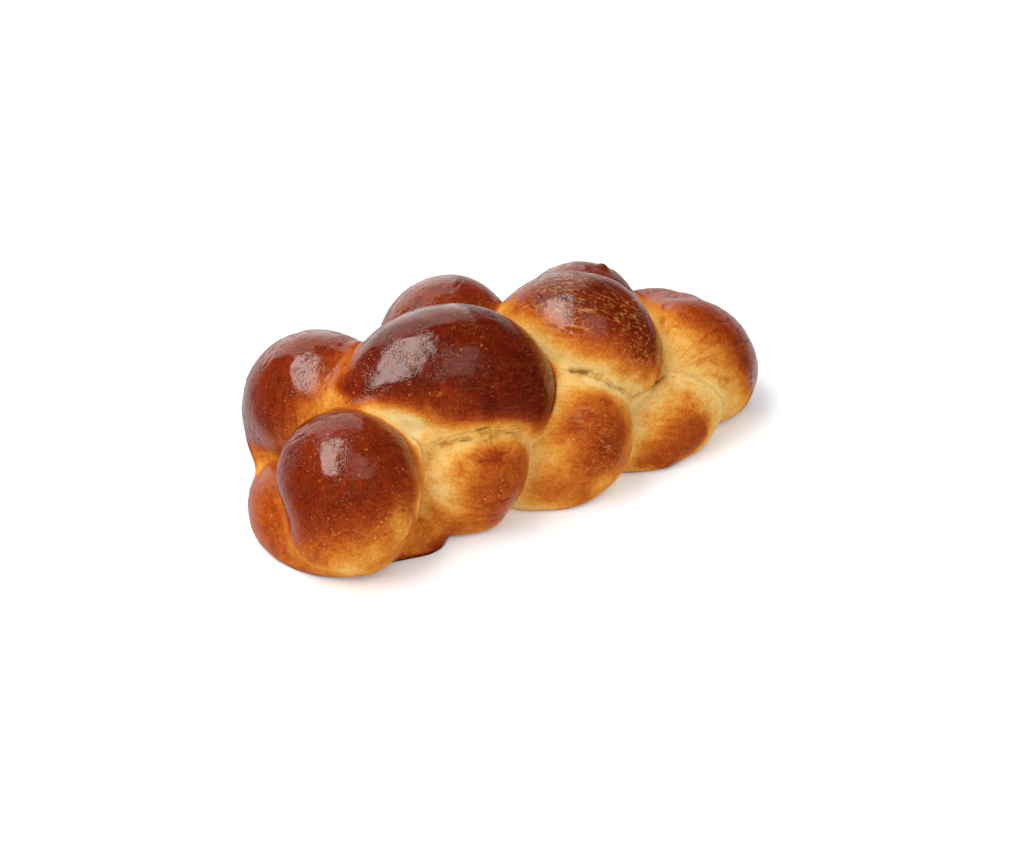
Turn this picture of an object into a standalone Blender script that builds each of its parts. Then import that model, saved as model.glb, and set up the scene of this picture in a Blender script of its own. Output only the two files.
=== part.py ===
"""Braided loaf: one solid of baked dough, plaited from fat strands, resting on a flat base.

X runs along the loaf, Y across it and Z up. The origin is the middle of the base.
The loaf is built from its crossings: at each crossing of the plait a strand comes up,
swells over its neighbours and dives again. A crossing is a row of balls of dough along a
short bent line, thin at the ends and fat at the crown. All the balls are fused into one
skin, which is smoothed, settled flat on its base and brought to the loaf's exact size.
"""

from collections import namedtuple
from math import cos, radians, sin

import bmesh
import bpy
import numpy as np
from mathutils import Matrix, Vector

# Driving dimensions, in metres
LENGTH = 0.300
WIDTH = 0.150
HEIGHT = 0.100

MM = 0.001
SKIN_VOXEL = 2.6 * MM  # the grain of the fused skin
SMOOTH_PASSES = 5
FOOT_ROUND = 4.0 * MM  # how high the rounding between the sides and the base reaches
SNAP = 0.12 * MM  # what lies this close to the base is on it
TRIANGLES = 7000
BALLS = 13  # along each crossing
BALL_DETAIL = 4

CRUST_COLOUR = (0.42, 0.15, 0.035, 1.0)
CRUST_ROUGHNESS = 0.4

# How a kind of crossing lies: the share of its run that comes before the crown, how far its
# inner end rises and its outer end falls, and the girth of both ends. All but the share are
# in units of the girth at the crown.
Lie = namedtuple("Lie", "share rise fall inner outer")
LIES = {
    "ridge": Lie(0.60, -0.05, 0.24, 0.56, 0.82),
    "flank": Lie(0.93, -0.06, 0.18, 0.75, 0.86),
    "knob": Lie(0.50, 0.00, 0.27, 0.88, 0.93),
    "tail": Lie(0.50, 0.00, 0.05, 0.90, 0.90),
}

# A crossing's kind, the place of its crown, its girth (a radius) and run in millimetres,
# and the way it points in plan and how far that way turns along it, in degrees.
Crossing = namedtuple("Crossing", "kind x y z girth run yaw bend")
CROSSINGS = (
    # the fat row, from the knob at one end to the knob at the other
    Crossing("knob", -114, -36, 38, 33.5, 15.5, -96, 16),
    Crossing("ridge", -47, -15.5, 61, 39, 60, -16, 10),
    Crossing("ridge", 34.5, -10.5, 58, 36, 42, -47, 9),
    Crossing("knob", 96.5, -20.5, 29, 36, 34.5, 0, -14),
    # the slimmer row beside it
    Crossing("knob", -95, 26, 47.5, 35, 24, 102, 7),
    Crossing("ridge", -18, 30, 55, 33, 43.5, 31, 0),
    Crossing("ridge", 65, 28, 44, 31, 35.5, 17, -4),
    Crossing("knob", 110, 15.5, 26, 27, 28, -20, 0),
    # the low row under the fat one, each with the heel that it stands on
    Crossing("tail", -107, -37, 2.5, 18.5, 48, -21, 0),
    Crossing("flank", -50, -39.5, 30.5, 29.5, 20.5, -61, 45),
    Crossing("flank", 10, -38, 27, 33.5, 26.5, -70, 42),
    Crossing("flank", 72, -35.5, 18, 29, 29, -56, 38),
    Crossing("tail", -62, -42, 11, 18, 20.5, -14, 8),
    Crossing("tail", -9, -47.5, 8, 18.5, 19, -22, 0),
    Crossing("tail", 48.5, -44, 7, 18, 20, -30, 0),
    # the low row under the slimmer one, with its heels
    Crossing("flank", -99, 42, 17, 25, 14, 56, 0),
    Crossing("flank", -50, 42, 27, 29, 21, 58, -45),
    Crossing("flank", 20, 42, 26, 31, 24, 70, -42),
    Crossing("flank", 80, 36, 19, 27, 22, 60, -38),
    Crossing("tail", -58, 44, 9, 18, 18, 14, 0),
    Crossing("tail", 2, 48, 8, 18, 19, 22, 0),
    Crossing("tail", 56, 45, 8, 18, 20, 30, 0),
    # the tail that is tucked round one end
    Crossing("tail", -128, -8.5, 7, 23, 52.5, -98, -16),
)

# The crossings underneath, all alike, lean to and fro along the loaf.
UNDER_FIRST = -88 * MM
UNDER_PITCH = 43 * MM
UNDER_COUNT = 5
UNDER_REACH = 22 * MM
UNDER_LEAN = 14 * MM
UNDER_HEIGHT = 16 * MM
UNDER_GIRTH = 27 * MM
UNDER_TAPER = 0.88


def heading(degrees):
    """The level unit vector that points this way in plan."""
    return Vector((cos(radians(degrees)), sin(radians(degrees)), 0.0))


def through(first, middle, last, t):
    """The value at t, from 0 to 1, of the parabola through three values."""
    return (
        first * (2 * (t - 0.5) * (t - 1))
        + middle * (-4 * t * (t - 1))
        + last * (2 * t * (t - 0.5))
    )


def crossing_line(crossing):
    """The inner end, crown and outer end of a crossing, and the girth at each, in metres."""
    lie = LIES[crossing.kind]
    girth = crossing.girth * MM
    run = crossing.run * MM
    crown = Vector((crossing.x, crossing.y, crossing.z)) * MM
    inner = crown - heading(crossing.yaw + crossing.bend) * run * lie.share
    outer = crown + heading(crossing.yaw - crossing.bend) * run * (1 - lie.share)
    inner.z += lie.rise * girth
    outer.z -= lie.fall * girth
    return (inner, crown, outer), (lie.inner * girth, girth, lie.outer * girth)


def under_line(index):
    """The same for one of the crossings underneath."""
    side = 1 if index % 2 else -1
    crown = Vector((UNDER_FIRST + index * UNDER_PITCH, 0.0, UNDER_HEIGHT))
    reach = Vector((UNDER_LEAN, side * UNDER_REACH, 0.0))
    thin = UNDER_TAPER * UNDER_GIRTH
    return (crown - reach, crown, crown + reach), (thin, UNDER_GIRTH, thin)


def add_balls(dough, places, girths):
    """Sets a row of balls along a crossing's line."""
    for t in np.linspace(0.0, 1.0, BALLS):
        centre = through(*places, t)
        radius = through(*girths, t)
        bmesh.ops.create_icosphere(
            dough, subdivisions=BALL_DETAIL, radius=radius, matrix=Matrix.Translation(centre)
        )


def dough_mesh():
    """Every ball of every crossing, still apart."""
    dough = bmesh.new()
    for crossing in CROSSINGS:
        add_balls(dough, *crossing_line(crossing))
    for index in range(UNDER_COUNT):
        add_balls(dough, *under_line(index))
    mesh = bpy.data.meshes.new("loaf")
    dough.to_mesh(mesh)
    dough.free()
    return mesh


def bake(loaf):
    """Puts what the modifiers make into the object's own mesh."""
    evaluated = loaf.evaluated_get(bpy.context.evaluated_depsgraph_get())
    mesh = bpy.data.meshes.new_from_object(evaluated)
    loaf.modifiers.clear()
    loaf.data = mesh


def fuse(loaf):
    """Fuses the balls into one smooth skin."""
    skin = loaf.modifiers.new("Skin", "REMESH")
    skin.mode = "VOXEL"
    skin.voxel_size = SKIN_VOXEL
    smooth = loaf.modifiers.new("Smooth", "SMOOTH")
    smooth.factor = 0.5
    smooth.iterations = SMOOTH_PASSES
    bake(loaf)


def points_of(mesh):
    """The mesh's points as an array of rows."""
    points = np.empty(len(mesh.vertices) * 3)
    mesh.vertices.foreach_get("co", points)
    return points.reshape(-1, 3)


def move_points(mesh, points):
    """Moves the mesh's points to the rows of an array."""
    mesh.vertices.foreach_set("co", points.ravel())
    mesh.update()


def settle(loaf):
    """Flattens what hangs below the base onto it, with a rounded foot all round."""
    points = points_of(loaf.data)
    z = points[:, 2]
    rounding = (z + FOOT_ROUND) ** 2 / (4 * FOOT_ROUND)
    points[:, 2] = np.where(z > FOOT_ROUND, z, np.where(z < -FOOT_ROUND, 0.0, rounding))
    move_points(loaf.data, points)


def thin_out(loaf):
    """Keeps the triangles that the form needs."""
    thin = loaf.modifiers.new("Thin", "DECIMATE")
    thin.ratio = TRIANGLES / (2 * len(loaf.data.polygons))
    thin.use_collapse_triangulate = True
    bake(loaf)


def fit(loaf):
    """Brings the loaf to its exact size, centred over the origin and flat on the base."""
    points = points_of(loaf.data)
    points[:, 2] = np.where(points[:, 2] < SNAP, 0.0, points[:, 2])
    low, high = points.min(axis=0), points.max(axis=0)
    foot = np.array(((low[0] + high[0]) / 2, (low[1] + high[1]) / 2, 0.0))
    size = np.array((LENGTH, WIDTH, HEIGHT))
    move_points(loaf.data, (points - foot) * size / (high - low))


def crust():
    """The browned crust, plain."""
    material = bpy.data.materials.new("crust")
    material.use_nodes = True
    shader = material.node_tree.nodes["Principled BSDF"]
    shader.inputs["Base Color"].default_value = CRUST_COLOUR
    shader.inputs["Roughness"].default_value = CRUST_ROUGHNESS
    shader.inputs["Metallic"].default_value = 0.0
    return material


def build_loaf(collection):
    """The loaf, as one closed solid."""
    loaf = bpy.data.objects.new("loaf", dough_mesh())
    collection.objects.link(loaf)
    fuse(loaf)
    settle(loaf)
    thin_out(loaf)
    fit(loaf)
    loaf.data.shade_smooth()
    loaf.data.materials.append(crust())


for left_over in list(bpy.data.objects):
    bpy.data.objects.remove(left_over)
parts = bpy.data.collections.new("braided_loaf")
bpy.context.scene.collection.children.link(parts)
build_loaf(parts)
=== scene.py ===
"""The looks of the braided loaf: its skin of dough, its baked crust and a plain studio.

The loaf lies along X, with Y across it and Z up. Its skin is made the way the plait is:
at each crossing a strand comes up, swells over its neighbours and dives again. A Geometry
Nodes tree lays a row of balls of dough along each crossing, the balls are fused, and the
fused skin is then drawn onto the exact form of the strands, with its lumps, tears, folds
and stretch marks. The same strands say where the crust has browned.
"""

from __future__ import annotations

import logging
from dataclasses import dataclass, field, fields
from enum import Enum
from math import cos, pi, radians, sin
from typing import Any, Sequence

import bpy
import numpy as np
from mathutils import Matrix, Vector


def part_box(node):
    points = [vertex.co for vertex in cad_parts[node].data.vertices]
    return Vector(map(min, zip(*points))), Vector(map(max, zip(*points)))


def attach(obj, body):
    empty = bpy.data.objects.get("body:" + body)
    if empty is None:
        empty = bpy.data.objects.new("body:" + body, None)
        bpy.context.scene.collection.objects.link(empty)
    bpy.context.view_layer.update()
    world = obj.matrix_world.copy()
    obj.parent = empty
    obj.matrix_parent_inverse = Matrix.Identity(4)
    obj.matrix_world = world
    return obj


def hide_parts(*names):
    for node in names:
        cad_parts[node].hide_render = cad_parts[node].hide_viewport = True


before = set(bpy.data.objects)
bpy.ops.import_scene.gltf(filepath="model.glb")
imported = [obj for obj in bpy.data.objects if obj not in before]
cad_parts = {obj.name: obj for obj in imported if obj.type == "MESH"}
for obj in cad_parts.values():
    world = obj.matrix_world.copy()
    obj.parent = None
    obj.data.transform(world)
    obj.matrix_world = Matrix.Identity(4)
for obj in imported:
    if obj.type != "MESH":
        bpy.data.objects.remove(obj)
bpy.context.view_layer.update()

log = logging.getLogger("braided_loaf")

NODE = "loaf"
BODY = "root"
MM = 0.001

FULL_TURN = 6.28
TINY = 1e-12
LEAST_CURVE = 1e-9
LAYER_SHIFT = 7.3

Triple = tuple[float, float, float]
Shade = tuple[int, int, int]


# ---------------------------------------------------------------- small helpers


def linear(shade: Shade) -> tuple[float, float, float, float]:
    """A colour given in 8-bit display values, as the linear values that shaders take.

    Args:
        shade: the red, green and blue values, 0 to 255.

    Returns:
        Linear red, green, blue and an alpha of 1.
    """
    levels = [value / 255 for value in shade]
    lin = [c / 12.92 if c <= 0.04045 else ((c + 0.055) / 1.055) ** 2.4 for c in levels]
    return (lin[0], lin[1], lin[2], 1.0)


def smooth_step(low: Any, high: Any, value: np.ndarray) -> np.ndarray:
    """Rises from 0 at low to 1 at high, with level ends."""
    share = np.clip((value - low) / (high - low), 0.0, 1.0)
    return share * share * (3 - 2 * share)


def unit(vectors: np.ndarray) -> np.ndarray:
    """The same directions at length 1, row by row."""
    return vectors / np.maximum(np.linalg.norm(vectors, axis=-1, keepdims=True), TINY)


def metres(place: Triple) -> np.ndarray:
    """A place given in millimetres, in metres."""
    return np.array(place) * MM


def to_segment(points: np.ndarray, start: Triple, end: Triple) -> tuple[np.ndarray, np.ndarray]:
    """How far points lie from a straight line between two places.

    Args:
        points: rows of X, Y and Z in metres.
        start: the line's first end, in millimetres.
        end: its last end, in millimetres.

    Returns:
        Each point's distance in metres, and the share of the line at its nearest place.
    """
    first, last = metres(start), metres(end)
    way = last - first
    share = np.clip((points - first) @ way / max(float(way @ way), TINY), 0.0, 1.0)
    return np.linalg.norm(points - first - share[:, None] * way, axis=1), share


@dataclass(frozen=True)
class Stretch:
    """Something that lies along a straight line on the skin, in millimetres.

    Attributes:
        start: one end of the line.
        end: the other end, which may be the same place.
        reach: how far it spreads round the line.
        amount: how strong it is on the line.
    """

    start: Triple
    end: Triple
    reach: float
    amount: float

    def spread(self, points: np.ndarray) -> tuple[np.ndarray, np.ndarray]:
        """How near points are to the line.

        Args:
            points: rows of X, Y and Z in metres.

        Returns:
            Values from 0, far away, to 1, on the line, and the share of the line there.
        """
        gap, share = to_segment(points, self.start, self.end)
        return np.exp(-((gap / (self.reach * MM)) ** 2)), share

    def tapered(
        self, points: np.ndarray, least: float, tapers: tuple[float, float]
    ) -> np.ndarray:
        """How near points are to the line, less towards its ends.

        Args:
            points: rows of X, Y and Z in metres.
            least: what is left of it at the ends.
            tapers: the shares of the line over which its start and its end fade.

        Returns:
            Values from 0 to 1.
        """
        near, share = self.spread(points)
        first, last = tapers
        ends = smooth_step(0.0, first, share) * smooth_step(1.0, 1.0 - last, share)
        return near * (least + (1.0 - least) * ends)


@dataclass
class Grain:
    """Smooth random lumps that fill space, the same on every run.

    Attributes:
        seed: picks the lumps.
        cells: how many lumps there are before they repeat.
    """

    seed: int
    cells: int = 48
    lattice: np.ndarray = field(init=False)

    def __post_init__(self) -> None:
        """Draws the random values that the lumps run through."""
        draw = np.random.default_rng(self.seed)
        self.lattice = draw.uniform(-1.0, 1.0, (self.cells,) * 3)

    def at(self, places: np.ndarray) -> np.ndarray:
        """The height of the lumps at some places.

        Args:
            places: rows of three coordinates, one lump apart at a step of 1.

        Returns:
            A value from -1 to 1 for each row.
        """
        base = np.floor(places).astype(int)
        part = places - base
        part = part * part * part * (part * (part * 6 - 15) + 10)
        total = np.zeros(len(places))
        for corner in np.ndindex(2, 2, 2):
            index = (base + np.array(corner)) % self.cells
            share = np.prod(np.where(np.array(corner) == 1, part, 1 - part), axis=1)
            total += share * self.lattice[index[:, 0], index[:, 1], index[:, 2]]
        return total

    def rough(self, places: np.ndarray, layers: int) -> np.ndarray:
        """Lumps on lumps, each layer half as large and half as high as the one before."""
        total = sum(
            self.at(places * 2**layer + LAYER_SHIFT * layer) / 2**layer for layer in range(layers)
        )
        return total / (2 - 2.0 ** (1 - layers))


# ---------------------------------------------------------------- the plait


class Kind(Enum):
    """The ways a crossing lies in the plait."""

    RIDGE = "ridge"
    FLANK = "flank"
    KNOB = "knob"
    TAIL = "tail"


@dataclass(frozen=True)
class Lie:
    """How a kind of crossing lies, in units of its girth.

    Attributes:
        share: the share of the run that comes before the crown.
        rise: how far the inner end lies above the crown's middle.
        fall: how far the outer end lies below it.
        inner: the girth of the inner end.
        outer: the girth of the outer end.
    """

    share: float
    rise: float
    fall: float
    inner: float
    outer: float


LIES = {
    Kind.RIDGE: Lie(0.60, -0.05, 0.24, 0.56, 0.82),
    Kind.FLANK: Lie(0.93, -0.06, 0.18, 0.75, 0.86),
    Kind.KNOB: Lie(0.50, 0.00, 0.27, 0.88, 0.93),
    Kind.TAIL: Lie(0.50, 0.00, 0.05, 0.90, 0.90),
}


@dataclass(frozen=True)
class Bake:
    """How the oven browned a crossing.

    Attributes:
        toward: the way that the darkest spot faces.
        edge: the cosine, from that way, where the brown ends.
        soft: how wide the change is, in the same cosine.
        depth: how brown the spot is, from 0, pale, to 1, nearly black.
        rest: how brown the crossing is elsewhere.
        shelter: how much paler it stayed where it lies against a neighbour.
        flecks: how thickly gold flecks cover its crust, from 0 to 1.
        blisters: how thickly small blisters cover it, from 0 to 1.
        wrinkles: how deep its wrinkles are, from 0 to 1.
    """

    toward: Triple
    edge: float
    soft: float
    depth: float
    rest: float
    shelter: float = 0.4
    flecks: float = 0.1
    blisters: float = 0.2
    wrinkles: float = 0.3


class Lines(Enum):
    """The ways that the fine lines of stretched dough run over a crossing."""

    ALONG = "along"
    AROUND = "around"
    FAN = "fan"


@dataclass(frozen=True)
class Crossing:
    """A stretch of strand that comes up between its neighbours, in millimetres and degrees.

    Attributes:
        kind: the way it lies.
        crown: the middle of its fattest place.
        girth: the radius there.
        run: its length, from the middle of one end to the middle of the other.
        yaw: the way it points in plan.
        bend: how far its way turns from the inner half to the outer half, halved.
        bake: how it browned.
        lines: the way its stretch lines run.
        heel_of: the crossing whose heel it is, if it is one; the two are one lump of dough.
    """

    kind: Kind
    crown: Triple
    girth: float
    run: float
    yaw: float
    bend: float
    bake: Bake
    lines: Lines = Lines.ALONG
    heel_of: str = ""

    def places(self) -> np.ndarray:
        """The inner end, the crown and the outer end, in metres, as three rows.

        Returns:
            Three rows of X, Y and Z.
        """
        lie = LIES[self.kind]
        crown = np.array(self.crown)
        before, after = radians(self.yaw + self.bend), radians(self.yaw - self.bend)
        near, far = self.run * lie.share, self.run * (1 - lie.share)
        lift, drop = lie.rise * self.girth, lie.fall * self.girth
        inner = crown + np.array((-near * cos(before), -near * sin(before), lift))
        outer = crown + np.array((far * cos(after), far * sin(after), -drop))
        return np.array((inner, crown, outer)) * MM

    def girths(self) -> np.ndarray:
        """The radius at the inner end, the crown and the outer end, in metres."""
        lie = LIES[self.kind]
        return np.array((lie.inner, 1.0, lie.outer)) * self.girth * MM


HEEL_BAKE = Bake((0.0, -1.0, 0.0), 0.5, 0.5, 0.3, 0.2)

CROSSINGS = {
    # the fat row, from the knob at one end to the knob at the other
    "near_knob": Crossing(
        Kind.KNOB, (-114, -36, 38), 33.5, 15.5, -96, 16,
        Bake((-0.03, 0.45, 0.89), -0.15, 0.46, 0.80, 0.46, 0.36, 0.10, 0.55, 0.45), Lines.AROUND,
    ),
    "great_ridge": Crossing(
        Kind.RIDGE, (-47, -15.5, 61), 39, 60, -16, 10,
        Bake((0.40, -0.18, 0.90), 0.08, 0.43, 0.91, 0.00, 0.08, 0.15, 0.40, 0.25),
    ),
    "second_ridge": Crossing(
        Kind.RIDGE, (34.5, -10.5, 58), 36, 42, -47, 9,
        Bake((0.44, -0.14, 0.89), 0.28, 0.43, 0.84, 0.00, 0.04, 1.00, 0.25, 0.60),
    ),
    "far_knob": Crossing(
        Kind.KNOB, (96.5, -20.5, 29), 36, 34.5, 0, -14,
        Bake((0.93, 0.05, 0.36), 0.26, 0.31, 0.68, 0.20, 0.19, 0.15, 0.15, 1.00), Lines.FAN,
    ),
    # the slimmer row beside it
    "shoulder": Crossing(
        Kind.KNOB, (-95, 26, 47.5), 35, 24, 102, 7,
        Bake((-0.38, 0.83, 0.40), -0.21, 0.60, 0.80, 0.10, 0.04, 0.15, 0.55, 0.50), Lines.AROUND,
    ),
    "back_ridge": Crossing(
        Kind.RIDGE, (-18, 30, 55), 33, 43.5, 31, 0,
        Bake((-0.20, 0.40, 0.89), 0.05, 0.50, 0.78, 0.20, 0.15, 0.35, 0.35, 0.40),
    ),
    "back_second_ridge": Crossing(
        Kind.RIDGE, (65, 28, 44), 31, 35.5, 17, -4,
        Bake((-0.10, 0.35, 0.93), 0.10, 0.50, 0.80, 0.22, 0.15, 0.15, 0.30, 0.40),
    ),
    "back_knob": Crossing(
        Kind.KNOB, (110, 15.5, 26), 27, 28, -20, 0,
        Bake((0.50, 0.45, 0.74), 0.05, 0.50, 0.70, 0.28, 0.10, 0.15, 0.20, 0.50), Lines.AROUND,
    ),
    # the low row under the fat one, each with the heel that it stands on
    "near_foot": Crossing(
        Kind.TAIL, (-107, -37, 2.5), 18.5, 48, -21, 0,
        Bake((0.28, -0.82, -0.50), 0.68, 0.20, 0.72, 0.45, 0.10, 0.00, 0.10),
    ),
    "first_flank": Crossing(
        Kind.FLANK, (-50, -39.5, 30.5), 29.5, 20.5, -61, 45,
        Bake((0.12, -0.99, 0.05), 0.71, 0.20, 0.57, 0.13, 0.12, 0.10, 0.12, 0.70),
    ),
    "first_heel": Crossing(
        Kind.TAIL, (-62, -42, 11), 18, 20.5, -14, 8, HEEL_BAKE, heel_of="first_flank"
    ),
    "middle_flank": Crossing(
        Kind.FLANK, (10, -38, 27), 33.5, 26.5, -70, 42,
        Bake((0.06, -0.95, 0.30), 0.75, 0.36, 0.68, 0.00, 0.15, 0.80, 0.20, 0.45),
    ),
    "middle_heel": Crossing(
        Kind.TAIL, (-9, -47.5, 8), 18.5, 19, -22, 0, HEEL_BAKE, heel_of="middle_flank"
    ),
    "last_flank": Crossing(
        Kind.FLANK, (72, -35.5, 18), 29, 29, -56, 38,
        Bake((-0.10, -0.98, 0.12), 0.85, 0.15, 0.60, 0.16, 0.50, 0.10, 0.10, 0.50),
    ),
    "last_heel": Crossing(
        Kind.TAIL, (48.5, -44, 7), 18, 20, -30, 0, HEEL_BAKE, heel_of="last_flank"
    ),
    # the low row under the slimmer one, with its heels
    "back_foot": Crossing(
        Kind.FLANK, (-99, 42, 17), 25, 14, 56, 0,
        Bake((-0.30, 0.80, 0.50), 0.30, 0.40, 0.62, 0.42, 0.10, 0.10, 0.20, 0.40),
    ),
    "back_first_flank": Crossing(
        Kind.FLANK, (-50, 42, 27), 29, 21, 58, -45,
        Bake((0.10, 0.98, 0.10), 0.72, 0.22, 0.60, 0.15, 0.15, 0.15, 0.15, 0.60),
    ),
    "back_first_heel": Crossing(
        Kind.TAIL, (-58, 44, 9), 18, 18, 14, 0, HEEL_BAKE, heel_of="back_first_flank"
    ),
    "back_middle_flank": Crossing(
        Kind.FLANK, (20, 42, 26), 31, 24, 70, -42,
        Bake((0.02, 0.97, 0.22), 0.74, 0.32, 0.66, 0.06, 0.15, 0.50, 0.20, 0.50),
    ),
    "back_middle_heel": Crossing(
        Kind.TAIL, (2, 48, 8), 18, 19, 22, 0, HEEL_BAKE, heel_of="back_middle_flank"
    ),
    "back_last_flank": Crossing(
        Kind.FLANK, (80, 36, 19), 27, 22, 60, -38,
        Bake((-0.08, 0.99, 0.06), 0.82, 0.20, 0.58, 0.16, 0.35, 0.10, 0.10, 0.50),
    ),
    "back_last_heel": Crossing(
        Kind.TAIL, (56, 45, 8), 18, 20, 30, 0, HEEL_BAKE, heel_of="back_last_flank"
    ),
    # the tail that is tucked round one end
    "tucked_tail": Crossing(
        Kind.TAIL, (-128, -8.5, 7), 23, 52.5, -98, -16,
        Bake((-0.60, -0.20, 0.77), 0.50, 0.50, 0.58, 0.52, 0.15, 0.00, 0.30, 0.50),
    ),
}

UNDER_BAKE = Bake((0.0, 0.0, -1.0), 0.2, 0.5, 0.50, 0.30)


@dataclass(frozen=True)
class UnderRow:
    """The crossings underneath, all alike, which lean to and fro along the loaf.

    Attributes:
        first: where along the loaf the first one lies, in millimetres, as all that follow.
        pitch: the step from one to the next.
        count: how many there are.
        reach: how far each reaches to either side.
        lean: how far its ends lie along the loaf from its crown.
        height: the height of its middle line.
        girth: its radius at the crown.
        taper: the girth of its ends, as a share of the crown's.
    """

    first: float = -88
    pitch: float = 43
    count: int = 5
    reach: float = 22
    lean: float = 14
    height: float = 16
    girth: float = 27
    taper: float = 0.88

    def strands(self) -> list[Strand]:
        """The crossings as strands, from one end of the loaf to the other.

        Returns:
            The strands, each with the way it was baked.
        """
        made = []
        for index in range(self.count):
            side = 1 if index % 2 else -1
            crown = np.array((self.first + index * self.pitch, 0.0, self.height))
            arm = np.array((self.lean, side * self.reach, 0.0))
            places = np.array((crown - arm, crown, crown + arm)) * MM
            girths = np.array((self.taper, 1.0, self.taper)) * self.girth * MM
            made.append(Strand(f"under_{index + 1}", places, girths, UNDER_BAKE))
        return made


@dataclass
class Strand:
    """A crossing's exact form: every point within the girth of its bent middle line.

    Attributes:
        name: the crossing's name.
        places: the inner end, crown and outer end of the middle line, as rows in metres.
        girths: the radius at each.
        bake: how it browned.
        lines: the way its stretch lines run.
        samples: how many places on the middle line are tried before the nearest is refined.
    """

    name: str
    places: np.ndarray
    girths: np.ndarray
    bake: Bake
    lines: Lines = Lines.ALONG
    samples: int = 17

    def along(self, t: np.ndarray) -> tuple[np.ndarray, np.ndarray]:
        """The middle line and the girth at shares of its length.

        Args:
            t: shares from 0, the inner end, to 1, the outer end.

        Returns:
            Rows of X, Y and Z, and the radius for each.
        """
        weights = np.stack((2 * (t - 0.5) * (t - 1), -4 * t * (t - 1), 2 * t * (t - 0.5)), -1)
        return weights @ self.places, weights @ self.girths

    def axes(self) -> np.ndarray:
        """Three square directions as rows: along the strand, level across it, and the third.

        Returns:
            Three rows of unit vectors.
        """
        along = unit(self.places[2] - self.places[0])
        across = unit(np.cross((0.0, 0.0, 1.0), along))
        return np.array((along, across, np.cross(along, across)))

    def reach(self) -> float:
        """A distance from the crown that holds the whole strand."""
        arms = np.linalg.norm(self.places - self.places[1], axis=1)
        return float((arms + self.girths).max())

    def nearest(self, points: np.ndarray) -> tuple[np.ndarray, np.ndarray]:
        """How far points lie outside the strand, and which way is out.

        Args:
            points: rows of X, Y and Z in metres.

        Returns:
            The distance of each, less than 0 inside, and the outward unit vectors.
        """
        centres, radii = self.along(np.linspace(0.0, 1.0, self.samples))
        gaps = np.linalg.norm(points[:, None] - centres, axis=2) - radii
        best = np.clip(gaps.argmin(axis=1), 1, self.samples - 2)
        rows = np.arange(len(points))
        before, here, after = gaps[rows, best - 1], gaps[rows, best], gaps[rows, best + 1]
        curve = np.maximum(before - 2 * here + after, LEAST_CURVE)
        shift = np.clip(0.5 * (before - after) / curve, -1.0, 1.0)
        centre, radius = self.along((best + shift) / (self.samples - 1))
        arm = points - centre
        return np.linalg.norm(arm, axis=1) - radius, unit(arm)

    def drawn(self, points: np.ndarray) -> np.ndarray:
        """Each point's place in the strand's stretched grain.

        Args:
            points: rows of X, Y and Z in metres.

        Returns:
            Rows of three lengths in metres, the first of them along the stretch lines.
        """
        local = (points - self.places[1]) @ self.axes().T
        if self.lines is Lines.AROUND:
            ring = np.hypot(local[:, 1], local[:, 2])
            turn = np.arctan2(local[:, 1], local[:, 2]) * self.girths[1]
            return np.stack((turn, local[:, 0], ring), axis=1)
        if self.lines is Lines.FAN:
            pinch = metres(PINCH)
            out = unit(pinch - self.places[1])
            level = unit(np.cross((0.0, 0.0, 1.0), out))
            arm = points - pinch
            turn = np.arctan2(arm @ np.cross(out, level), arm @ level)
            return np.stack((np.linalg.norm(arm, axis=1), turn * FAN_SPREAD, 0 * turn), axis=1)
        return local


# Where the strand of the far knob was pinched under the second ridge, in millimetres.
PINCH = (66.0, -46.0, 44.0)
FAN_SPREAD = 22 * MM


class SoftJoint(Stretch):
    """A line where two strands have grown together instead of meeting in a sharp crease."""

    def at(self, points: np.ndarray) -> np.ndarray:
        """How softly the strands run together at points, in metres."""
        return self.amount * MM * self.spread(points)[0]


# How softly strands meet where nothing else is said, and how softly a heel joins its flank.
CRISP = 0.45 * MM
HEEL_SOFTNESS = 4.0 * MM
# The distance that stands for a strand out of reach, and how far beyond one points are read.
FAR_AWAY = 0.5
MARGIN = 25 * MM
# The furthest that one step draws a point, and the steps that draw it on.
DRAW_STEP = 3 * MM
DRAW_STEPS = 3
# How far apart the strands' stretched grains lie, so that no two are alike.
GRAIN_GAP = 0.1

SOFT_JOINTS = (
    # the shoulder into the great ridge's thin end
    SoftJoint((-104, -12, 66), (-80, 12, 76), 10, 3.2),
    # the open valley between the near knob and the great ridge
    SoftJoint((-96, -27, 70), (-76, -47, 50), 8, 2.0),
    # the near knob's pale edge over the first flank
    SoftJoint((-80, -46, 52), (-86, -53, 39), 7, 3.2),
    # the torn band under the great ridge
    SoftJoint((-72, -47, 54), (-28, -59, 51), 8, 3.2),
    # the torn band under the second ridge
    SoftJoint((9, -37, 60), (40, -53, 44), 7, 2.6),
    # the last flank into the far knob
    SoftJoint((76, -50, 42), (96, -58, 30), 7, 2.2),
    SoftJoint((96, -58, 30), (98, -56, 6), 12, 3.5),
    # the near knob into the foot and the tucked tail
    SoftJoint((-146, -46, 20), (-118, -66, 8), 16, 5.0),
    # the shoulder into the foot behind it, and into the tucked tail
    SoftJoint((-86, 64, 22), (-103, 66, 24), 14, 4.0),
    SoftJoint((-108, 64, 24), (-124, 34, 22), 14, 4.0),
    # the back ridges into the flanks under them
    SoftJoint((-47, 45, 55), (-31, 58, 43), 6, 2.0),
    SoftJoint((18, 53, 54), (4, 63, 42), 6, 2.0),
    SoftJoint((60, 55, 27), (96, 51, 36), 7, 2.0),
    # the far knob into the knob beside it
    SoftJoint((88, 6, 54), (116, -2, 52), 14, 5.0),
    SoftJoint((116, -2, 52), (138, 2, 22), 16, 4.0),
)


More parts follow.
